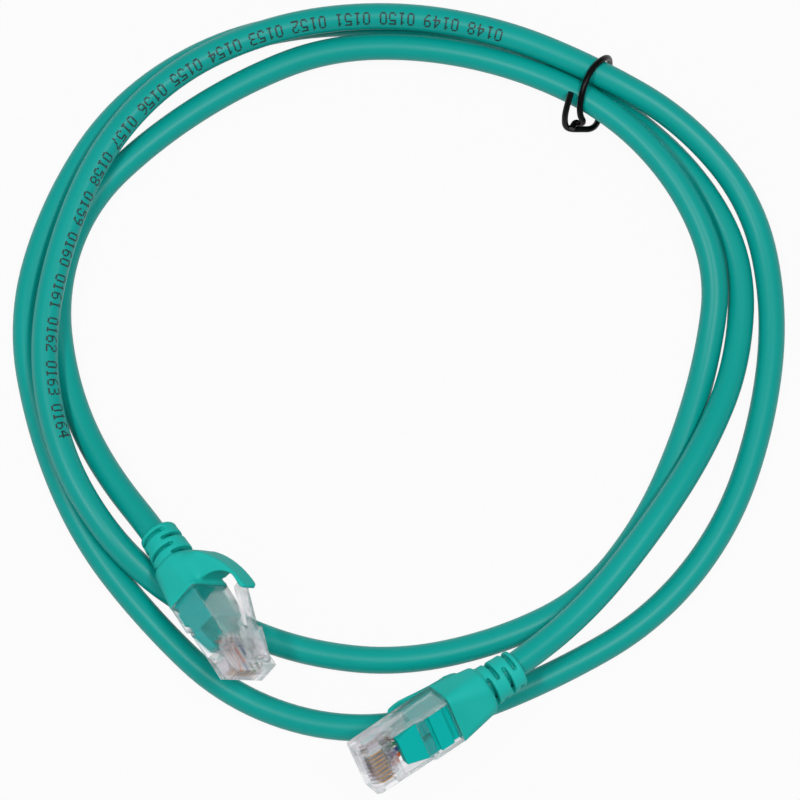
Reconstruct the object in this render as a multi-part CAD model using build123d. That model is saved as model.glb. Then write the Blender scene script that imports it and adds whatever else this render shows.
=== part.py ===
from build123d import *
import math
import os

# Ethernet patch cable: a round cord laid in a loose three-turn coil, a moulded 8P8C plug on
# each end and a wire tie near the top. Millimetres, +Z up, the coil lies on z = 0.
# A plug is drawn with its housing's rear face at x = 0, the nose toward +x, the contacts
# underneath and the latch on top, and is then set down at its place in the coil.

# ---- cord -----------------------------------------------------------------------------
jacket_diameter = 5.8
bend_share = 0.45          # share of the shorter neighbouring run that each bend may use
coil_centre = (0.3, 8.9)   # where the middle of the coil stands

# the route between the two plugs: clock angle from +y in degrees, distance from the middle
# of the coil, height of the cord's centre
first_turn = [
    (249, 69.0, 4.6), (265, 72.8, 3.0), (281, 76.8, 3.4), (297, 77.4, 3.4), (313, 73.6, 3.2),
    (330, 71.6, 4.2), (347, 71.6, 6.0), (365, 70.2, 6.8), (384, 69.9, 8.8), (402, 71.3, 10.2),
    (419, 72.1, 8.8), (435, 71.8, 6.0), (450, 66.8, 3.2), (467, 64.0, 2.9), (485, 64.6, 2.9),
    (503, 66.8, 2.9), (521, 66.2, 2.9), (540, 67.4, 2.9), (557, 68.2, 2.9),
]
second_turn = [
    (572, 69.4, 2.9), (585, 72.4, 4.5), (598, 74.8, 8.6), (613, 76.6, 9.3), (630, 77.6, 9.4),
    (648, 77.6, 9.6), (666, 79.8, 9.6), (683, 80.4, 9.5), (701, 78.4, 9.7), (719, 76.3, 10.4),
    (737, 75.2, 11.4), (754, 76.0, 11.4), (770, 81.4, 7.6), (786, 84.9, 3.3), (803, 82.4, 2.9),
    (821, 79.8, 2.9), (839, 79.8, 2.9), (857, 79.2, 2.9), (875, 77.4, 2.9), (892, 79.8, 2.9),
    (909, 83.4, 2.9), (926, 83.0, 2.9), (943, 79.0, 2.9),
]
third_turn = [
    (960, 78.8, 2.9), (978, 79.6, 2.9), (996, 83.2, 2.9), (1014, 83.4, 2.9), (1032, 84.6, 2.9),
    (1050, 82.8, 2.9), (1068, 79.0, 2.9), (1086, 75.6, 3.0), (1104, 74.2, 4.55),
    (1121, 74.2, 4.55), (1138, 77.0, 3.0), (1154, 77.9, 2.9), (1171, 73.4, 3.6),
    (1188, 68.6, 8.0), (1206, 66.6, 10.0), (1226, 69.8, 10.3),
]

# ---- plugs: place relative to the coil's middle, then yaw, pitch and roll ----------------
plug_places = {
    "a": ((-42.4, -55.3, 14.5), -58, 16, 54),
    "b": ((9.8, -80.3, 15.4), -145, 8, -137),
}

# ---- housing ----------------------------------------------------------------------------
housing_length = 21.5
housing_width = 11.68
housing_half_height = 4.0        # at the rear, above and below the cord
nose_top = 3.4                   # the latch side falls a little toward the nose
front_drop = 0.7                 # the contact side steps in ahead of this
step_at = 6.8
nose_bevel = 1.2
edge_round = 0.35
cavity_half_width = 4.7
cavity_floor = -3.45
cavity_roof = 3.05
cavity_depth = 14.4
window = (0.45, 13.4)            # opening on the contact side, along x
fit = 0.05                       # assembly clearance between nested pieces

# ---- soft filling inside the housing --------------------------------------------------------
mould_front = 8.15
mould_pad = (2.0, 5.2)           # raised pad seen in the window, with a recess before and after
mould_recess = (0.5, 6.05)       # where those recesses begin and end
lip_front = 13.1                 # the filling runs on under the cord as a narrowing lip
lip_half_width = 3.2
lip_top = -0.9
strain = (6.1, 8.1)              # two clear ridges in the window, with a groove between
strain_groove = (6.85, 7.35)

# ---- wires and contacts -------------------------------------------------------------------
wire_count = 8
wire_pitch = 1.016
wire_diameter = 0.85
wire_height = 0.5                # centre of the flat row
wire_end = 20.4
jacket_end = 11.95               # where the cord's jacket stops inside the housing
bundle_share = 0.62              # how tight the wires lie where they leave the jacket
bundle_lift = 0.75               # every other wire leaves higher, the rest lower
guide = (14.8, 16.0)
guide_height = 2.7
contact_thickness = 0.38
contact = (16.6, 19.9)           # rear and front edge
contact_foot = -2.9
slot_width = 0.62
slot_start = 16.2

# ---- latch ------------------------------------------------------------------------------
latch_pivot = (20.3, 3.35)
latch_bead = 0.55
pivot_clearance = 0.08
latch_slope = 22.0               # degrees that the lever rises toward the cord
latch_rise = 0.26                # lever's underside above the pivot
latch_thickness = 1.15
latch_wide = 6.1
latch_narrow = 3.25
latch_shoulder = 14.4            # where the wide front steps down to the lever
latch_tip = 5.2
latch_front = 21.4               # the root ends just behind the nose
latch_dimple = (17.2, 2.8, 1.5, 0.35)   # place along x, length across, breadth and depth
travel = 12.0                    # degrees that latch and guard swing when pressed
pressed = {"a": 0.0, "b": travel}   # plug b lies on its latch side, which presses both

# ---- boot and latch guard -----------------------------------------------------------------
boot_front = (12.2, 9.0, 1.5)    # width, height and corner radius against the housing
boot_waist = (10.6, 9.8, 4.4)    # and where the sleeve starts
boot_shoulder = -9.7
boot_end = -18.1
shoulder_round = 0.8
sleeve_front = 4.7               # radius of the strain relief at the shoulder
sleeve_rear = 4.2
sleeve_rows = 4
sleeve_first = 0.15              # from the shoulder to the first slot
sleeve_pitch = 2.1
sleeve_slot = 0.95
slot_span = 7.4                  # length of a slot, seen square on
sleeve_bridge = 1.9              # half thickness of what is left between a row's two slots
guard_pivot = (-1.7, 4.15)
guard_bead = 0.8
guard_root = -9.4                # rear end
guard_width = 4.6                # at the top, the sides flare down to the root
guard_flare = 13.0               # degrees
guard_corners = (3.4, 1.2)       # seen from above, at the rear and at the tip
guard_bar = 5.6                  # length of the hinge bar
guard_tip = 7.6
guard_top = 12.2
guard_underside = 11.25
guard_seam = 0.2                 # gap to the boot's top

# ---- tie ------------------------------------------------------------------------------------
tie_diameter = 1.4
tie_bend = 0.42
tie_route = [                    # relative to the coil's middle: tail, round the strands, twist
    (37.2, 56.5, 14.5), (36.1, 53.6, 11.5), (36.0, 51.7, 8.0), (37.0, 50.9, 5.9),
    (39.4, 51.2, 4.9), (41.9, 51.9, 3.9), (44.0, 54.6, 1.6), (44.3, 58.4, 0.6),
    (45.2, 62.4, 1.4), (46.2, 65.4, 5.4), (45.9, 66.4, 10.0), (44.0, 64.9, 14.2),
    (41.6, 61.8, 14.9), (40.0, 58.0, 14.4), (39.1, 54.5, 12.5), (39.2, 52.8, 9.8),
    (38.8, 51.3, 8.0), (37.2, 49.8, 7.5), (35.9, 49.5, 5.8), (36.7, 49.9, 3.9),
    (38.7, 50.9, 2.9), (40.2, 53.1, 3.2), (40.9, 53.2, 5.8), (41.2, 52.1, 9.0),
]


def block(x0, x1, width, z0, z1, y=0.0):
    """A box between x0 and x1, z0 and z1, centred on y."""
    return Pos((x0 + x1) / 2, y, (z0 + z1) / 2) * Box(x1 - x0, width, z1 - z0)


def side_plate(points, width):
    """A side-view outline of (x, z) points made into a plate centred on y = 0."""
    outline = Polyline(*[(x, z) for x, z in points], close=True)
    return extrude(Plane.XZ * make_face(outline), width / 2, both=True)


def cross_bar(x, z, radius, width):
    """A round bar along y."""
    return Pos(x, 0, z) * Rot(90, 0, 0) * Cylinder(radius, width)


def bent_path(points, share):
    """Straight runs between the points, joined by arcs that touch both neighbours."""
    points = [Vector(*point) for point in points]
    radii = []
    for before, here, after in zip(points, points[1:], points[2:]):
        turn = math.radians((here - before).get_angle(after - here))
        shorter = min((here - before).length, (after - here).length)
        radii.append(share * shorter / math.tan(turn / 2))
    return FilletPolyline(*points, radius=radii), radii


def tube(path, diameter):
    return sweep(Plane(path @ 0, z_dir=path % 0) * Circle(diameter / 2), path=path)


def plug_location(side):
    (x, y, z), yaw, pitch, roll = plug_places[side]
    return (Pos(coil_centre[0] + x, coil_centre[1] + y, z)
            * Rot(0, 0, yaw) * Rot(0, -pitch, 0) * Rot(-roll, 0, 0))


def in_coil(clock, distance, height):
    angle = math.radians(clock)
    return (coil_centre[0] + distance * math.sin(angle),
            coil_centre[1] + distance * math.cos(angle), height)


# ---- the cord ---------------------------------------------------------------------------
def cable_jacket():
    """The cord's jacket, from inside one housing round the coil into the other."""
    def on_axis(side, x):
        return (plug_location(side) * Pos(x, 0, 0)).position
    boot_middle = (boot_end + boot_shoulder) / 2 + 0.6
    points = [on_axis("a", jacket_end), on_axis("a", boot_middle)]
    points += [Vector(*in_coil(*stop)) for stop in first_turn + second_turn + third_turn]
    points += [on_axis("b", boot_middle), on_axis("b", jacket_end)]
    path, radii = bent_path(points, bend_share)
    cord = tube(path, jacket_diameter)
    print("cord length", round(path.length, 1), "bend radii", round(min(radii), 1), "to",
          round(max(radii), 1), "volume", round(cord.volume),
          "of", round(path.length * math.pi * (jacket_diameter / 2) ** 2))
    print("bend radii", [round(r, 1) for r in radii])
    return cord


# ---- pieces of one plug -------------------------------------------------------------------
def wire_y(index):
    return (index - (wire_count - 1) / 2) * wire_pitch


def housing():
    low, high = -housing_half_height, housing_half_height
    body = side_plate([
        (0, low), (step_at, low), (step_at + 0.6, low + front_drop),
        (housing_length - nose_bevel, low + front_drop + 0.2),
        (housing_length, low + front_drop + 0.2 + nose_bevel),
        (housing_length, nose_top), (0, high)], housing_width)
    long_edges = body.edges().filter_by(lambda e: abs(abs(e.center().Y) - housing_width / 2) < 0.01
                                        and e.length > 5 and abs(e.tangent_at(0.5).X) > 0.9)
    body = chamfer(long_edges, edge_round)
    # the room for the cord and its inner moulding, open to the rear
    body -= block(-1, cavity_depth, 2 * cavity_half_width, cavity_floor, cavity_roof)
    # the window on the contact side
    body -= block(window[0], window[1], 2 * cavity_half_width, low - 1, cavity_floor + 0.1)
    # the room for the wire guide and the flat row of wires ahead of it
    body -= block(cavity_depth - 1, guide[1] + fit, 8.5, wire_height - guide_height / 2 - fit,
                  wire_height + guide_height / 2 + fit)
    row_half = wire_diameter / 2 + fit
    body -= block(guide[1], wire_end + fit, 7 * wire_pitch + wire_diameter + 2 * fit,
                  wire_height - row_half, wire_height + row_half)
    # contact slots, open underneath and at the nose
    for index in range(wire_count):
        body -= block(slot_start, housing_length + 1, slot_width, low - 1,
                      wire_height - row_half + 0.02, wire_y(index))
    # moulding pockets in both cheeks
    for cheek in (-1, 1):
        body -= block(16.4, 19.6, 2.0, -2.6, 0.6, cheek * housing_width / 2)
    # the latch pivots in this groove
    body -= cross_bar(*latch_pivot, latch_bead + pivot_clearance, latch_wide + 0.6)
    return body


def inner_mould():
    """The soft filling round the cord, with the pad and recesses seen in the window."""
    half_width, floor, roof = cavity_half_width - fit, cavity_floor + fit, cavity_roof - fit
    body = block(fit, mould_front, 2 * half_width, floor, roof)
    body += block(*mould_pad, 2 * half_width, floor - 0.35, floor + 0.1)
    deep = (floor + lip_top) / 2
    body += loft([
        Plane.YZ.offset(mould_front) * Pos(0, deep) * Rectangle(2 * half_width, lip_top - floor),
        Plane.YZ.offset(lip_front) * Pos(0, deep + 0.2) * Rectangle(
            2 * lip_half_width, lip_top - floor - 0.4)])
    for start, end in ((mould_recess[0], mould_pad[0]), (mould_pad[1], mould_recess[1])):
        body -= block(start, end, 2 * half_width + 1, floor - 1, floor + 0.4)
    body -= block(strain[0] - fit, strain[1] + fit, 2 * half_width + 1, floor - 1,
                  -jacket_diameter / 2)
    bore = jacket_end + fit
    return body - Pos(bore / 2, 0, 0) * Rot(0, 90, 0) * Cylinder(jacket_diameter / 2 + 0.02, bore)


def strain_bar():
    """The two clear ridges across the window that bear on the cord."""
    body = block(*strain, 2 * cavity_half_width - 2 * fit, -3.9, -jacket_diameter / 2 - 0.02)
    return body - block(*strain_groove, 2 * cavity_half_width + 1, -5, -3.4)


def wire_guide():
    low, high = wire_height - guide_height / 2, wire_height + guide_height / 2
    body = block(guide[0], guide[1], 8.4, low, high)
    channel = wire_diameter / 2 + 0.02
    for index in range(wire_count):
        body -= block(guide[0] - 1, guide[1] + 1, 2 * channel, wire_height - channel,
                      wire_height + channel, wire_y(index))
    return body


def wire(index):
    """One insulated wire: it leaves the cord, swings into the row and runs to the nose."""
    lift = bundle_lift if index % 2 == 0 else -bundle_lift
    near, far, row = wire_y(index) * bundle_share, wire_y(index), wire_height
    path = Polyline((jacket_end + fit, near, row + lift), (jacket_end + 0.6, near, row + lift),
                    (guide[0] - 0.3, far, row), (wire_end, far, row))
    section = Plane(path @ 0, z_dir=path % 0) * Circle(wire_diameter / 2)
    return sweep(section, path=path, transition=Transition.RIGHT)


def contact_blade(index):
    rear, front = contact
    top = wire_height - wire_diameter / 2 - 0.02
    blade = side_plate([
        (rear, contact_foot + 0.5), (rear + 0.5, contact_foot), (front - 0.5, contact_foot),
        (front, contact_foot + 0.5), (front, top - 0.9), (front - 0.9, top), (rear, top),
    ], contact_thickness)
    return Pos(0, wire_y(index), 0) * blade


def latch():
    """The sprung release lever: a rounded root at the nose, a wide front and a narrow lever."""
    pivot_x, pivot_z = latch_pivot
    slope = math.tan(math.radians(latch_slope))
    deep = latch_thickness / math.cos(math.radians(latch_slope))

    def under(x):
        return pivot_z + latch_rise + (pivot_x - x) * slope

    wide = side_plate([
        (latch_front, under(pivot_x)), (pivot_x, under(pivot_x)),
        (latch_shoulder, under(latch_shoulder)), (latch_shoulder, under(latch_shoulder) + deep),
        (pivot_x, under(pivot_x) + deep), (latch_front, under(pivot_x) + 0.9 * deep),
    ], latch_wide)
    root_edges = wide.edges().filter_by(Axis.Y).group_by(Axis.X)[-1]
    wide = fillet(root_edges.sort_by(Axis.Z)[-1], 0.6)
    x, across, along, depth = latch_dimple
    dimple = Pos(x, 0, under(x) + deep) * Rot(0, latch_slope, 0) * Rot(0, 0, 90) * extrude(
        SlotOverall(across, along), depth, both=True)
    lever = side_plate([
        (latch_shoulder + 1, under(latch_shoulder + 1)), (latch_tip, under(latch_tip)),
        (latch_tip, under(latch_tip) + deep), (latch_shoulder + 1, under(latch_shoulder + 1) + deep),
    ], latch_narrow)
    tip_corners = lever.edges().filter_by(Axis.Z).group_by(Axis.X)[0]
    lever = fillet(tip_corners, 0.9)
    return wide + lever - dimple + cross_bar(pivot_x, pivot_z, latch_bead, latch_wide)


def boot_body(grow=0.0):
    """The boot ahead of its sleeve, or the same form grown all round by a clearance."""
    def section(size):
        width, height, corner = size
        return RectangleRounded(width + 2 * grow, height + 2 * grow, corner + grow)
    return loft([Plane.YZ * section(boot_front), Plane.YZ.offset(boot_shoulder) * section(boot_waist)])


def boot():
    """The moulded boot: a body that narrows off the housing, then a slotted sleeve."""
    body = boot_body()
    body = fillet(body.faces().sort_by(Axis.X)[0].edges(), shoulder_round)
    sleeve_length = boot_shoulder + 1 - boot_end
    sleeve = Pos((boot_shoulder + 1 + boot_end) / 2, 0, 0) * Rot(0, 90, 0) * Cone(
        sleeve_rear, sleeve_front, sleeve_length)
    sleeve = fillet(sleeve.edges().sort_by(Axis.X)[0], 0.4)
    for row in range(sleeve_rows):
        x = boot_shoulder - sleeve_first - row * sleeve_pitch - sleeve_slot / 2
        for side in (0, 180):
            turn = side + 90 * (row % 2)
            sleeve -= Rot(turn, 0, 0) * Pos(x, 0, sleeve_bridge) * Rot(0, 0, 90) * extrude(
                SlotOverall(slot_span, sleeve_slot), 5)
    body += sleeve
    body -= Pos(boot_end / 2, 0, 0) * Rot(0, 90, 0) * Cylinder(
        jacket_diameter / 2, -boot_end + 2)
    pivot_x, pivot_z = guard_pivot
    return body - cross_bar(pivot_x, pivot_z, guard_bead + pivot_clearance, guard_bar + 0.4)


def guard_sides():
    """What bounds the tongue seen from above, flaring down to its broad root."""
    low = jacket_diameter / 2
    flare = (guard_top - low) * math.tan(math.radians(guard_flare))
    half = guard_width / 2 + flare
    plan = Plane.XY.offset(low) * make_face(Polyline(
        (guard_root, -half), (guard_tip + flare, -half), (guard_tip + flare, half),
        (guard_root, half), close=True))
    rear, tip = guard_corners
    plan = fillet(plan.vertices().group_by(Axis.X)[0], rear)
    plan = fillet(plan.vertices().group_by(Axis.X)[-1], tip + flare)
    return extrude(plan, guard_top + 0.5 - low, taper=guard_flare)


def latch_guard():
    """The arched tongue over the latch's end, broad at its root, that keeps it from catching."""
    pivot_x, pivot_z = guard_pivot
    rear = (guard_root, boot_waist[1] / 2 - 0.2)
    tip_low = (guard_tip, guard_underside)
    bend = (3.9, guard_underside + 0.05)
    heel = (pivot_x + 0.55, pivot_z + 0.5)
    outline = [
        ThreePointArc(rear, (-1.9, guard_top - 1.95), (guard_tip, guard_top)),
        Line((guard_tip, guard_top), tip_low), Line(tip_low, bend),
        ThreePointArc(bend, (0.8, 9.1), (-0.4, 5.7)),
        Polyline((-0.4, 5.7), heel, (heel[0], 3.0), (rear[0], 3.0), rear)]
    tongue = extrude(Plane.XZ * make_face(outline), housing_width, both=True)
    tongue &= guard_sides()
    tongue -= boot_body(guard_seam)
    return tongue + cross_bar(pivot_x, pivot_z, guard_bead, guard_bar)


def swung(solid, pivot, angle):
    """Turned about a hinge along y, nose down for a positive angle."""
    pivot_x, pivot_z = pivot
    return Pos(pivot_x, 0, pivot_z) * Rot(0, angle, 0) * Pos(-pivot_x, 0, -pivot_z) * solid


# ---- the tie ---------------------------------------------------------------------------------
def wire_tie():
    """The coated wire that is bent round the three strands and twisted on their inner side."""
    points = [(coil_centre[0] + x, coil_centre[1] + y, z) for x, y, z in tie_route]
    return tube(bent_path(points, tie_bend)[0], tie_diameter)


# ---- everything, one file per piece ------------------------------------------------------------
os.makedirs("parts", exist_ok=True)
pieces = {"cable_jacket": cable_jacket(), "wire_tie": wire_tie()}
for side in plug_places:
    place = plug_location(side)
    for name, make in (("housing", housing), ("inner_mould", inner_mould),
                       ("strain_bar", strain_bar), ("wire_guide", wire_guide), ("boot", boot)):
        pieces[f"{name}_{side}"] = place * make()
    pieces[f"latch_{side}"] = place * swung(latch(), latch_pivot, -pressed[side])
    pieces[f"latch_guard_{side}"] = place * swung(latch_guard(), guard_pivot, pressed[side])
    for index in range(wire_count):
        pieces[f"wire_{index + 1}_{side}"] = place * wire(index)
        pieces[f"contact_{index + 1}_{side}"] = place * contact_blade(index)
for name, solid in pieces.items():
    export_step(solid, f"parts/{name}.step")
print(len(pieces), "pieces")
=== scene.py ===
import math
import bpy
from mathutils import Matrix, Vector


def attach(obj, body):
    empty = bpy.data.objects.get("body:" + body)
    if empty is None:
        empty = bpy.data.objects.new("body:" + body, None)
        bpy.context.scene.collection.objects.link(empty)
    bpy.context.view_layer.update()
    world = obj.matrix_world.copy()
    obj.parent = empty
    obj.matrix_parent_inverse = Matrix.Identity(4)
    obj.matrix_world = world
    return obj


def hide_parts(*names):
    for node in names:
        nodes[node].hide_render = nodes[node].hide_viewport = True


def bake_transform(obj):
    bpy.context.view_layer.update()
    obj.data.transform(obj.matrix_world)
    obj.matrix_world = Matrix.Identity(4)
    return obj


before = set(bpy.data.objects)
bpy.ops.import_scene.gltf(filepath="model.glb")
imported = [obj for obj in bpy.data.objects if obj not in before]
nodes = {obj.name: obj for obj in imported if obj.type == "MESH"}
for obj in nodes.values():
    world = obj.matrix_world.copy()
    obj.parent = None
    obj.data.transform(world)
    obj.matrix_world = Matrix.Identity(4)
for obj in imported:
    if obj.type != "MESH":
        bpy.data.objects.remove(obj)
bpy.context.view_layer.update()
bpy.ops.object.select_all(action="DESELECT")
print("frame loaded:", len(nodes), "nodes")

# where the coil and the plugs lie, as in the CAD
layout = {
    "coilCentre": (0.0003, 0.0089, 0),
    "plugs": {                                 # place from the coil's middle, then yaw, pitch and roll
        "a": ((-0.0424, -0.0553, 0.0145), -58, 16, 54),
        "b": ((0.0098, -0.0803, 0.0154), -145, 8, -137),
    },
}
coilCentre = Vector(layout["coilCentre"])


def plugPlace(side):                           # the matrix that sets a plug down in the coil
    place, yaw, pitch, roll = layout["plugs"][side]
    return (Matrix.Translation(coilCentre + Vector(place)) @ Matrix.Rotation(math.radians(yaw), 4, "Z")
            @ Matrix.Rotation(math.radians(-pitch), 4, "Y") @ Matrix.Rotation(math.radians(-roll), 4, "X"))


def plugPoint(side, x, y=0, z=0):              # a place given along, across and above a plug's own axis
    return plugPlace(side) @ Vector((x, y, z))


def onClock(clock, distance, height):          # clock angle from +Y, seen from above
    turn = math.radians(clock)
    return coilCentre + Vector((distance * math.sin(turn), distance * math.cos(turn), height))


# materials: each finish has one dictionary of shader values and surface detail
def newMaterial(name, look):
    material = bpy.data.materials.new(name)
    material.use_nodes = True
    material.diffuse_color = (*look["Base Color"][:3], 1)
    shader = material.node_tree.nodes["Principled BSDF"]
    for socket, value in look.items():
        shader.inputs[socket].default_value = value
    return material, shader


def addNode(owner, kind, at, **settings):      # the owner is a material or the world
    node = owner.node_tree.nodes.new(kind)
    node.location = at
    for name, value in settings.items():
        if name in node.inputs:
            node.inputs[name].default_value = value
        else:
            setattr(node, name, value)
    return node


def link(owner, start, end):
    owner.node_tree.links.new(start, end)


def addRange(owner, at, fromRange=(0.0, 1.0), toRange=(0.0, 1.0)):   # one range of values laid on another
    spread = addNode(owner, "ShaderNodeMapRange", at)
    for socket, value in zip(("From Min", "From Max", "To Min", "To Max"), (*fromRange, *toRange)):
        spread.inputs[socket].default_value = value
    return spread


def addRamp(owner, at, colours, positions):
    ramp = addNode(owner, "ShaderNodeValToRGB", at)
    for element, colour, position in zip(ramp.color_ramp.elements, colours, positions):
        element.color = colour
        element.position = position
    return ramp


surface = {
    "edgeSamples": 6, "grainStrength": 0.6,
    "driftBand": (0.35, 0.65),                 # the part of the noise over which the colour drifts
    "goldToPaintedLightBand": (0.5, 0.8),                    # turn of the skin at which a contact goes from gold to its pale flanks, which are painted light
    # the flanks' low metal is part of the same painted light
    "goldMetal": 1.0, "paintedLightFlankMetal": 0.1,
}


def addGrain(material, shader, edge=0, grainScale=0, grainHeight=0):
    # soft moulded edges and a fine grain in the height
    normal = None
    if edge:
        bevel = addNode(material, "ShaderNodeBevel", (-800, -500), samples=surface["edgeSamples"],
                        Radius=edge)
        normal = bevel.outputs["Normal"]
    if grainScale:
        coords = addNode(material, "ShaderNodeTexCoord", (-1200, -300))
        grain = addNode(material, "ShaderNodeTexNoise", (-1000, -300), Scale=grainScale, Detail=3.0)
        bump = addNode(material, "ShaderNodeBump", (-500, -350), Strength=surface["grainStrength"],
                       Distance=grainHeight)
        link(material, coords.outputs["Object"], grain.inputs["Vector"])
        link(material, grain.outputs["Fac"], bump.inputs["Height"])
        if normal:
            link(material, normal, bump.inputs["Normal"])
        normal = bump.outputs["Normal"]
    if normal:
        link(material, normal, shader.inputs["Normal"])


def addDrift(material, shader, scale, dark, light):
    # a slow drift of colour over the surface
    coords = addNode(material, "ShaderNodeTexCoord", (-1200, 300))
    drift = addNode(material, "ShaderNodeTexNoise", (-1000, 300), Scale=scale, Detail=2.0)
    ramp = addRamp(material, (-700, 300), (dark, light), surface["driftBand"])
    link(material, coords.outputs["Object"], drift.inputs["Vector"])
    link(material, drift.outputs["Fac"], ramp.inputs["Fac"])
    link(material, ramp.outputs["Color"], shader.inputs["Base Color"])


def addSmear(material, shader, scale, low, high):
    # handling marks: the gloss changes a little from place to place
    coords = addNode(material, "ShaderNodeTexCoord", (-1200, 0))
    smear = addNode(material, "ShaderNodeTexNoise", (-1000, 0), Scale=scale, Detail=4.0)
    spread = addRange(material, (-700, 0), toRange=(low, high))
    link(material, coords.outputs["Object"], smear.inputs["Vector"])
    link(material, smear.outputs["Fac"], spread.inputs["Value"])
    link(material, spread.outputs["Result"], shader.inputs["Roughness"])


def addGoldEdgesAndPaintedFlankLight(material, shader, across, edge, paintedLightFlank):
    # a contact's stamped edges are gold; the flanks between them are painted pale and less metallic, a
    # painted light that lifts the shade in the narrow gaps between contacts
    coords = addNode(material, "ShaderNodeTexCoord", (-1200, 300))
    along = addNode(material, "ShaderNodeVectorMath", (-1000, 300), operation="DOT_PRODUCT")
    along.inputs[1].default_value = across
    size = addNode(material, "ShaderNodeMath", (-800, 300), operation="ABSOLUTE")
    ramp = addRamp(material, (-600, 300), (edge, paintedLightFlank), surface["goldToPaintedLightBand"])
    shine = addRange(material, (-600, 0), surface["goldToPaintedLightBand"], (surface["goldMetal"], surface["paintedLightFlankMetal"]))
    link(material, coords.outputs["Normal"], along.inputs[0])
    link(material, along.outputs["Value"], size.inputs[0])
    link(material, size.outputs[0], shine.inputs["Value"])
    link(material, shine.outputs["Result"], shader.inputs["Metallic"])
    link(material, size.outputs[0], ramp.inputs["Fac"])
    link(material, ramp.outputs["Color"], shader.inputs["Base Color"])


finishes = {
    "jacketPvc": {
        "look": {"Base Color": (0.0, 0.338, 0.298, 1), "Roughness": 0.4, "Specular IOR Level": 0.24},
        "grain": {"grainScale": 350, "grainHeight": 0.000002},
        "drift": {"scale": 14, "dark": (0.0, 0.324, 0.284, 1), "light": (0.0, 0.354, 0.314, 1)},
        "smear": {"scale": 40, "low": 0.36, "high": 0.42}},
    "bootPvc": {
        "look": {"Base Color": (0.008, 0.46, 0.40, 1), "Roughness": 0.55, "Specular IOR Level": 0.2},
        "grain": {"grainScale": 1500, "grainHeight": 0.00003},
        "drift": {"scale": 60, "dark": (0.006, 0.45, 0.392, 1), "light": (0.012, 0.49, 0.43, 1)}},
    "mouldPvc": {
        "look": {"Base Color": (0.0, 0.46, 0.42, 1), "Roughness": 0.5, "Specular IOR Level": 0.1},
        "grain": {"edge": 0.0002, "grainScale": 1200, "grainHeight": 0.00002}},
    "clearPolycarbonate": {
        "look": {"Base Color": (0.9, 0.885, 0.94, 1), "Roughness": 0.03, "IOR": 1.45,
                 "Transmission Weight": 1.0, "Alpha": 0.55},
        "grain": {"edge": 0.00012, "grainScale": 400, "grainHeight": 0.00001}},
    "tiePvc": {
        "look": {"Base Color": (0.001, 0.001, 0.0013, 1), "Roughness": 0.3, "Specular IOR Level": 0.15},
        "grain": {"grainScale": 700, "grainHeight": 0.00004}},
    "printInk": {
        "look": {"Base Color": (0.004, 0.03, 0.028, 1), "Roughness": 0.5},
        "grain": {"grainScale": 2500, "grainHeight": 0.00001}},
}
for side in "ab":                              # a contact's flanks face across its own plug
    finishes["contactMetal" + side.upper()] = {
        "look": {"Base Color": (0.83, 0.56, 0.24, 1), "Metallic": 0.9, "Roughness": 0.3},
        "grain": {"grainScale": 3000, "grainHeight": 0.00001},
        # edges gold; the pale flank colour is painted light for the shaded gaps between the contacts
        "goldEdgesAndFlankLight": {"across": plugPlace(side).to_3x3() @ Vector((0, 1, 0)),
                    "edge": (0.86, 0.56, 0.22, 1), "paintedLightFlank": (0.86, 0.83, 0.86, 1)}}
wireTones = {"orange": (0.75, 0.13, 0.03, 1), "blue": (0.02, 0.06, 0.28, 1), "green": (0.02, 0.22, 0.08, 1),
             "brown": (0.16, 0.05, 0.02, 1), "white": (0.75, 0.75, 0.73, 1)}
wireOrder = ["white", "orange", "white", "blue", "white", "green", "white", "brown"]
for tone, colour in wireTones.items():
    finishes[tone + "WireSkin"] = {"look": {"Base Color": colour, "Roughness": 0.35},
                                   "grain": {"grainScale": 1500, "grainHeight": 0.00001}}


def makeFinish(name):
    finish = finishes[name]
    material, shader = newMaterial(name, finish["look"])
    addGrain(material, shader, **finish["grain"])
    if "drift" in finish:
        addDrift(material, shader, **finish["drift"])
    if "smear" in finish:
        addSmear(material, shader, **finish["smear"])
    if "goldEdgesAndFlankLight" in finish:
        addGoldEdgesAndPaintedFlankLight(material, shader, **finish["goldEdgesAndFlankLight"])
    return material


material = {name: makeFinish(name) for name in finishes}


def finishOf(name):                            # which finish a CAD node gets, from its name
    kind = name.rsplit("_", 1)[0]
    if kind in ("housing", "latch", "strain_bar", "wire_guide"):
        return "clearPolycarbonate"
    if kind in ("boot", "latch_guard"):
        return "bootPvc"
    if kind == "inner_mould":
        return "mouldPvc"
    if kind.startswith("contact"):
        return "contactMetal" + name[-1].upper()
    return wireOrder[int(kind.split("_")[1]) - 1] + "WireSkin"


for name, node in nodes.items():
    if name not in ("cable_jacket", "wire_tie"):   # these two get a piece of their own below
        node.data.materials.clear()
        node.data.materials.append(material[finishOf(name)])
print("finishes on the CAD nodes")


# the boots: each boot and its latch guard are one soft moulding, so the guard's root flows into the boot
moulding = {
    "mergeWithin": 0.000002,
    "voxel": 0.00022,
    "rootFront": -0.0012, "rootDrop": 0.0007,  # behind this the root is repeated lower, to meet the boot
    "rootZone": {"along": (-0.0108, -0.0004), "above": (0.0028, 0.0074)},   # in the plug's own frame
    "softPasses": 3, "flowPasses": 80, "lastPasses": 3,   # over all, at the root, over all once more
    "bendFrom": (-0.0045, 0.0046), "bendTo": (-0.0035, 0.0085),   # along and above, where the guard bends
    "arch": {"along": (-0.0098, 0.0055), "above": (0.0052, 0.009)},
    "flattened": {"a": 0.0, "b": 0.0016},      # how far the arch is pushed down on the plug that lies on it
}


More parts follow.
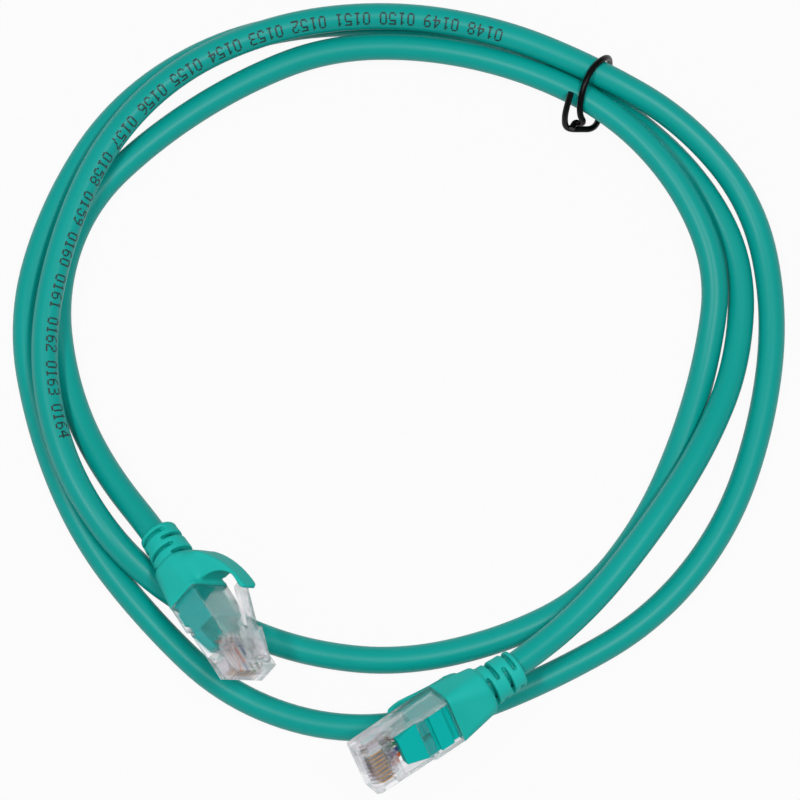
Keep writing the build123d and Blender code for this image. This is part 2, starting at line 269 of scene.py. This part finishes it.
def editOn(piece):
    bpy.ops.object.select_all(action="DESELECT")
    piece.select_set(True)
    bpy.context.view_layer.objects.active = piece
    bpy.ops.object.mode_set(mode="EDIT")
    bpy.ops.mesh.select_mode(type="VERT")


def editOff():
    bpy.ops.object.mode_set(mode="OBJECT")
    bpy.ops.object.select_all(action="DESELECT")


def selectPlaces(piece, wanted):               # selects the vertices whose place is wanted
    bpy.ops.mesh.select_all(action="DESELECT")
    bpy.ops.object.mode_set(mode="OBJECT")
    for vertex in piece.data.vertices:
        vertex.select = wanted(vertex.co)
    bpy.ops.object.mode_set(mode="EDIT")


def mergedCopy(nodeName):                      # a CAD mesh is loose triangles, so the copy is merged
    piece = bpy.data.objects.new(nodeName + "Copy", nodes[nodeName].data.copy())
    bpy.context.scene.collection.objects.link(piece)
    editOn(piece)
    bpy.ops.mesh.select_all(action="SELECT")
    bpy.ops.mesh.remove_doubles(threshold=moulding["mergeWithin"])
    editOff()
    return piece


def squashGuard(piece, side):                  # pushes the guard's arch down where the plug lies on it
    toPlug, down = plugPlace(side).inverted(), plugPlace(side).to_3x3() @ Vector((0, 0, -1))
    (rear, front), (low, high) = moulding["arch"]["along"], moulding["arch"]["above"]
    for vertex in piece.data.vertices:
        local = toPlug @ vertex.co
        if rear < local.x < front and local.z > low:
            share = math.sin(math.pi * (local.x - rear) / (front - rear))
            share *= min(1, (local.z - low) / (high - low))
            vertex.co += down * moulding["flattened"][side] * share


def smoothAll(piece, passes):
    editOn(piece)
    bpy.ops.mesh.select_all(action="SELECT")
    bpy.ops.mesh.vertices_smooth(factor=0.5, repeat=passes)


def loweredRoot(side):                         # the guard's root once more, deeper in the boot
    root = mergedCopy("latch_guard_" + side)
    turn = plugPlace(side).to_3x3()
    editOn(root)
    bpy.ops.mesh.select_all(action="SELECT")
    bpy.ops.mesh.bisect(plane_co=plugPoint(side, moulding["rootFront"]), plane_no=turn @ Vector((1, 0, 0)),
                        use_fill=True, clear_outer=True)
    bpy.ops.mesh.select_all(action="SELECT")
    bpy.ops.transform.translate(value=turn @ Vector((0, 0, -moulding["rootDrop"])))
    editOff()
    return root


def mouldBoot(side):
    toPlug = plugPlace(side).inverted()
    (rear, front), (low, high) = moulding["rootZone"]["along"], moulding["rootZone"]["above"]

    def atRoot(place):
        local = toPlug @ place
        return rear < local.x < front and low < local.z < high

    guard = mergedCopy("latch_guard_" + side)
    root = loweredRoot(side)
    boot = mergedCopy("boot_" + side)
    for piece in (boot, guard, root):
        piece.select_set(True)
    bpy.context.view_layer.objects.active = boot
    bpy.ops.object.join()
    boot.data.remesh_voxel_size = moulding["voxel"]
    bpy.ops.object.voxel_remesh()
    squashGuard(boot, side)
    smoothAll(boot, moulding["softPasses"])
    selectPlaces(boot, atRoot)
    bpy.ops.mesh.vertices_smooth(factor=0.5, repeat=moulding["flowPasses"])
    editOff()
    bpy.ops.object.voxel_remesh()              # once more, so no fold is left where the skins met
    smoothAll(boot, moulding["lastPasses"])
    bpy.ops.mesh.customdata_custom_splitnormals_clear()
    editOff()
    boot.name = "mouldedBoot" + side.upper()
    boot.data.materials.clear()
    boot.data.materials.append(material["bootPvc"])
    for face in boot.data.polygons:
        face.use_smooth = True
    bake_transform(boot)
    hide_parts("boot_" + side, "latch_guard_" + side)
    return boot


for side in "ab":
    boot = mouldBoot(side)
    print("boot", side, "moulded,", len(boot.data.polygons), "faces")


# the cord: one smooth curve through the same points as the CAD tube
cord = {
    "diameter": 0.0058,
    "insidePlug": 0.01195,                     # where the jacket ends inside the housing
    "bootMiddle": -0.01345,
    "bootMouth": -0.0178,                      # the cord comes out of the sleeve's last ring
    "stepsPerPoint": 10,
    "firstTurn": [                             # clock angle, distance from the coil's middle, height
        (249, 0.069, 0.0046), (265, 0.0728, 0.003), (281, 0.0768, 0.0034), (297, 0.0774, 0.0034),
        (313, 0.0736, 0.0032), (330, 0.0716, 0.0042), (347, 0.0716, 0.006), (365, 0.0702, 0.0068),
        (384, 0.0699, 0.0088), (402, 0.0713, 0.0102), (419, 0.0721, 0.0088), (435, 0.0718, 0.006),
        (450, 0.0668, 0.0032), (467, 0.064, 0.0029), (485, 0.0646, 0.0029), (503, 0.0668, 0.0029),
        (521, 0.0662, 0.0029), (540, 0.0674, 0.0029), (557, 0.0682, 0.0029),
    ],
    "secondTurn": [
        (572, 0.0694, 0.0029), (585, 0.0724, 0.0045), (598, 0.0748, 0.0086), (613, 0.0766, 0.0093),
        (630, 0.0776, 0.0094), (648, 0.0776, 0.0096), (666, 0.0798, 0.0096), (683, 0.0804, 0.0095),
        (701, 0.0784, 0.0097), (719, 0.0763, 0.0104), (737, 0.0752, 0.0114), (754, 0.076, 0.0114),
        (770, 0.0814, 0.0076), (786, 0.0849, 0.0033), (803, 0.0824, 0.0029), (821, 0.0798, 0.0029),
        (839, 0.0798, 0.0029), (857, 0.0792, 0.0029), (875, 0.0774, 0.0029), (892, 0.0798, 0.0029),
        (909, 0.0834, 0.0029), (926, 0.083, 0.0029), (943, 0.079, 0.0029),
    ],
    "thirdTurn": [
        (960, 0.0788, 0.0029), (978, 0.0796, 0.0029), (996, 0.0832, 0.0029), (1014, 0.0834, 0.0029),
        (1032, 0.0846, 0.0029), (1050, 0.0828, 0.0029), (1068, 0.079, 0.0029), (1086, 0.0756, 0.003),
        (1104, 0.0742, 0.00455), (1121, 0.0742, 0.00455), (1138, 0.077, 0.003), (1154, 0.0779, 0.0029),
        (1171, 0.0734, 0.0036), (1188, 0.0686, 0.008), (1206, 0.0666, 0.01), (1226, 0.0698, 0.0103),
    ],
}


def nurbsCurve(name, points, diameter, finish, roundness=7):
    curve = bpy.data.curves.new(name, "CURVE")
    curve.dimensions = "3D"
    spline = curve.splines.new("NURBS")
    spline.points.add(len(points) - 1)
    for spot, point in zip(spline.points, points):
        spot.co = (*point, 1)
    spline.order_u = 3                         # set after the points, or it falls back to straight runs
    spline.use_endpoint_u = True
    spline.resolution_u = cord["stepsPerPoint"]
    curve.bevel_depth = diameter / 2
    curve.bevel_resolution = roundness
    curve.use_fill_caps = True
    curve.materials.append(material[finish])
    piece = bpy.data.objects.new(name, curve)
    bpy.context.scene.collection.objects.link(piece)
    return piece


def centreline(piece):                         # points along a curve piece, read without its bevel
    bare = piece.data.copy()
    bare.bevel_depth = 0
    probe = bpy.data.objects.new("probe", bare)
    bpy.context.scene.collection.objects.link(probe)
    mesh = bpy.data.meshes.new_from_object(probe)
    points = [vertex.co.copy() for vertex in mesh.vertices]
    bpy.data.objects.remove(probe)
    return points


turns = cord["firstTurn"] + cord["secondTurn"] + cord["thirdTurn"]
route = [plugPoint("a", cord["insidePlug"]), plugPoint("a", cord["bootMiddle"])]
route += [onClock(*stop) for stop in turns]
route += [plugPoint("b", cord["bootMiddle"]), plugPoint("b", cord["insidePlug"])]
jacket = nurbsCurve("jacket", route, cord["diameter"], "jacketPvc")
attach(jacket, "cord_and_plugs")
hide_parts("cable_jacket")
line = centreline(jacket)


# printed marks on the jacket: plain counting numbers, in dots
marks = {
    "fromClock": 736, "toClock": 614,          # along the second turn, read against the route
    "dotAlong": 0.00031, "dotAcross": 0.00042, "dotSize": 0.00024, "dotSides": 6,
    "letterStep": 0.00205, "wordGap": 0.0017,
    "lift": 0.000012,
    "lean": [(736, 28), (680, 30), (655, 50), (640, 42), (621, 34)],   # clock, degrees off the top
    "firstNumber": 148, "numbers": 24,         # printing stops at toClock if the numbers run past it
}
middleRow = 3
digitDots = {                                  # five by seven dots, top row first
    "0": "01110 10001 10001 10001 10001 10001 01110", "1": "00100 01100 00100 00100 00100 00100 01110",
    "2": "01110 10001 00001 00110 01000 10000 11111", "3": "11110 00001 00001 01110 00001 00001 11110",
    "4": "00010 00110 01010 10010 11111 00010 00010", "5": "11111 10000 11110 00001 00001 10001 01110",
    "6": "00110 01000 10000 11110 10001 10001 01110", "7": "11111 00001 00010 00100 00100 01000 01000",
    "8": "01110 10001 10001 01110 10001 10001 01110", "9": "01110 10001 10001 01111 00001 00010 01100",
}


def clockOf(point):
    away = point - coilCentre
    return math.degrees(math.atan2(away.x, away.y))


def walk(points):                              # distance and unwound clock angle of each point
    distance, clock, walked = 0.0, clockOf(points[0]) + 360, []
    for before, here in zip([points[0]] + points, points):
        distance += (here - before).length
        turn = clockOf(here)
        clock += (turn - clock + 180) % 360 - 180
        walked.append((distance, clock))
    return walked


def between(table, key):                       # straight-line reading of a (key, value) table
    table = sorted(table)
    for (k0, v0), (k1, v1) in zip(table, table[1:]):
        if k0 <= key <= k1:
            return v0 + (v1 - v0) * (key - k0) / (k1 - k0)
    return table[0][1] if key < table[0][0] else table[-1][1]


walked = walk(line)
distances = [distance for distance, clock in walked]


def atDistance(distance):                      # place, direction and clock angle on the centreline
    index = next(i for i, d in enumerate(distances) if d >= distance)
    before, after = line[index - 1], line[index]
    share = (distance - distances[index - 1]) / (distances[index] - distances[index - 1])
    clock = walked[index - 1][1] + share * (walked[index][1] - walked[index - 1][1])
    around = line[min(index + 2, len(line) - 1)] - line[max(index - 3, 0)]
    return before.lerp(after, share), around.normalized(), clock


def dotPlace(distance, row):                   # the matrix that lays one dot on the jacket
    place, direction, clock = atDistance(distance)
    radius = cord["diameter"] / 2 + marks["lift"]
    lean = math.radians(between(marks["lean"], clock)) + (middleRow - row) * marks["dotAcross"] / radius
    side = direction.cross(Vector((0, 0, 1))).normalized()   # toward the coil's middle
    top = side.cross(direction).normalized()
    out = math.cos(lean) * top + math.sin(lean) * side
    turn = Matrix((direction, out.cross(direction), out)).transposed().to_4x4()
    return Matrix.Translation(place + radius * out) @ turn


def wordDots(word, distance):                  # distance and row of each dot, and where the word ends
    dots = []
    for digit in word:
        for row, bits in enumerate(digitDots[digit].split()):
            dots += [(distance - column * marks["dotAlong"], row)
                     for column, bit in enumerate(bits) if bit == "1"]
        distance -= marks["letterStep"]
    return dots, distance - marks["wordGap"]


def printMarks():
    bpy.ops.mesh.primitive_circle_add(vertices=marks["dotSides"], radius=marks["dotSize"], fill_type="NGON")
    dot = bpy.context.active_object
    distance = next(d for d, clock in walked if clock >= marks["fromClock"])
    stop = next(d for d, clock in walked if clock >= marks["toClock"])
    dots = []
    for number in range(marks["firstNumber"], marks["firstNumber"] + marks["numbers"]):
        wordPlaces, distance = wordDots("%04d" % number, distance)
        dots += wordPlaces
        if distance < stop:
            break
    for where, row in dots:
        copy = bpy.data.objects.new("dot", dot.data.copy())
        copy.data.transform(dotPlace(where, row))
        bpy.context.scene.collection.objects.link(copy)
        copy.select_set(True)
    dot.data.transform(dotPlace(dots[0][0], dots[0][1]))
    bpy.ops.object.join()
    dot.name = "lengthMarks"
    dot.data.materials.append(material["printInk"])
    dot.select_set(False)
    return dot


lengthMarks = printMarks()
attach(lengthMarks, "cord_and_plugs")
print("marks printed,", len(lengthMarks.data.polygons), "dots")


# the wire tie: one bent wire, its tail and its twist on the inner side of the turns
tie = {
    "diameter": 0.0014,
    "route": [                                 # from the coil's middle: tail, round the strands, knot
        (0.0372, 0.0565, 0.0145), (0.0361, 0.0536, 0.0115), (0.036, 0.0517, 0.008),
        (0.0366, 0.0512, 0.0062), (0.0378, 0.0511, 0.0055), (0.0396, 0.0513, 0.0049),
        (0.0422, 0.0516, 0.0039), (0.0438, 0.0541, 0.0016), (0.0443, 0.0584, 0.0006),
        (0.0452, 0.0624, 0.0014), (0.0462, 0.0654, 0.0054), (0.0459, 0.0662, 0.01),
        (0.0442, 0.0646, 0.0138), (0.0416, 0.0618, 0.0147), (0.04, 0.058, 0.0144),
        (0.0392, 0.0547, 0.0124), (0.0393, 0.0528, 0.01), (0.0402, 0.0519, 0.0084),
        (0.0395, 0.0518, 0.007), (0.0382, 0.0524, 0.007), (0.0376, 0.0506, 0.0073),
    ],
}
tieWire = nurbsCurve("tieWire", [coilCentre + Vector(point) for point in tie["route"]],
                     tie["diameter"], "tiePvc", roundness=5)
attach(tieWire, "cord_and_plugs")
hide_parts("wire_tie")
print("tie bent round the turns")


# floor, light and camera
studio = {
    "floorSize": 3.0, "floorDrop": 0.00005,    # the drop keeps the floor clear of the cord's lowest skin
    "floorColour": (0.5, 0.5, 0.5, 1),
    "floorWhite": 0.94,                        # share of plain white that the camera sees on the floor
    "wallStrength": 0.45,
    "ceilingStrength": 0.26,
    "wallToCeiling": (0.25, 0.65),             # rise of the direction where one fades into the other
    "lamps": [                                 # place, aimed at the coil; size across; watts
        {"name": "windowLeft", "place": (-0.43, -0.12, 1.12), "size": (0.42, 0.12), "watts": 5.2},
        {"name": "windowRight", "place": (0.3, -0.15, 1.15), "size": (0.46, 0.1), "watts": 5.6},
    ],
    "cameraTilt": 14.0,                        # degrees off straight down
    "cameraDistance": 0.9, "cameraReach": 10,
    "lens": 187.1, "sensor": 36,
    "aim": (0.0003, -0.0006, 0.003),
}


def buildFloor():
    bpy.ops.mesh.primitive_plane_add(size=studio["floorSize"], location=(0, 0, -studio["floorDrop"]))
    floor = bpy.context.active_object
    floor.name = "floor"
    paper, shader = newMaterial("floorPaper", {"Base Color": studio["floorColour"], "Roughness": 0.9})
    path = addNode(paper, "ShaderNodeLightPath", (-600, 300))
    glow = addNode(paper, "ShaderNodeEmission", (-300, -200), Strength=1.0)
    mix = addNode(paper, "ShaderNodeMixShader", (200, 0))
    output = paper.node_tree.nodes["Material Output"]
    straight = addNode(paper, "ShaderNodeMath", (-300, 300), operation="MAXIMUM")   # camera or glossy ray
    seen = addNode(paper, "ShaderNodeMath", (-150, 300), operation="MAXIMUM")       # or a transmitted one
    share = addNode(paper, "ShaderNodeMath", (0, 300), operation="MULTIPLY")
    share.inputs[1].default_value = studio["floorWhite"]
    link(paper, path.outputs["Is Camera Ray"], straight.inputs[0])
    link(paper, path.outputs["Is Glossy Ray"], straight.inputs[1])
    link(paper, straight.outputs[0], seen.inputs[0])
    link(paper, path.outputs["Is Transmission Ray"], seen.inputs[1])
    link(paper, seen.outputs[0], share.inputs[0])
    link(paper, share.outputs[0], mix.inputs["Fac"])
    link(paper, shader.outputs[0], mix.inputs[1])
    link(paper, glow.outputs[0], mix.inputs[2])
    link(paper, mix.outputs[0], output.inputs["Surface"])
    floor.data.materials.append(paper)


def buildSky():                                # bright toward the walls, darker overhead
    world = bpy.data.worlds.new("studio")
    world.use_nodes = True
    bpy.context.scene.world = world
    sky = world.node_tree.nodes["Background"]
    coords = addNode(world, "ShaderNodeTexCoord", (-700, 0))
    parts = addNode(world, "ShaderNodeSeparateXYZ", (-500, 0))
    strengths = (studio["wallStrength"], studio["ceilingStrength"])
    rise = addRange(world, (-300, 0), studio["wallToCeiling"], strengths)
    sky.inputs["Color"].default_value = (1, 1, 1, 1)
    link(world, coords.outputs["Generated"], parts.inputs["Vector"])
    link(world, parts.outputs["Z"], rise.inputs["Value"])
    link(world, rise.outputs["Result"], sky.inputs["Strength"])


def buildLamps():
    for look in studio["lamps"]:
        lamp = bpy.data.lights.new(look["name"], "AREA")
        lamp.shape = "RECTANGLE"
        lamp.size, lamp.size_y = look["size"]
        lamp.energy = look["watts"]
        holder = bpy.data.objects.new(look["name"], lamp)
        bpy.context.scene.collection.objects.link(holder)
        holder.location = look["place"]
        holder.rotation_euler = (Vector(studio["aim"]) - holder.location).to_track_quat("-Z", "Y").to_euler()


def buildCamera():
    lens = bpy.data.cameras.new("camera")
    lens.lens = studio["lens"]
    lens.sensor_width = studio["sensor"]
    lens.clip_end = studio["cameraReach"]
    camera = bpy.data.objects.new("camera", lens)
    bpy.context.scene.collection.objects.link(camera)
    tilt = math.radians(studio["cameraTilt"])
    away = Vector((0, -math.sin(tilt), math.cos(tilt)))
    camera.location = Vector(studio["aim"]) + studio["cameraDistance"] * away
    camera.rotation_euler = (tilt, 0, 0)
    bpy.context.scene.camera = camera


buildFloor()
buildSky()
buildLamps()
buildCamera()
bpy.context.scene.view_settings.view_transform = "Standard"
print("studio ready")
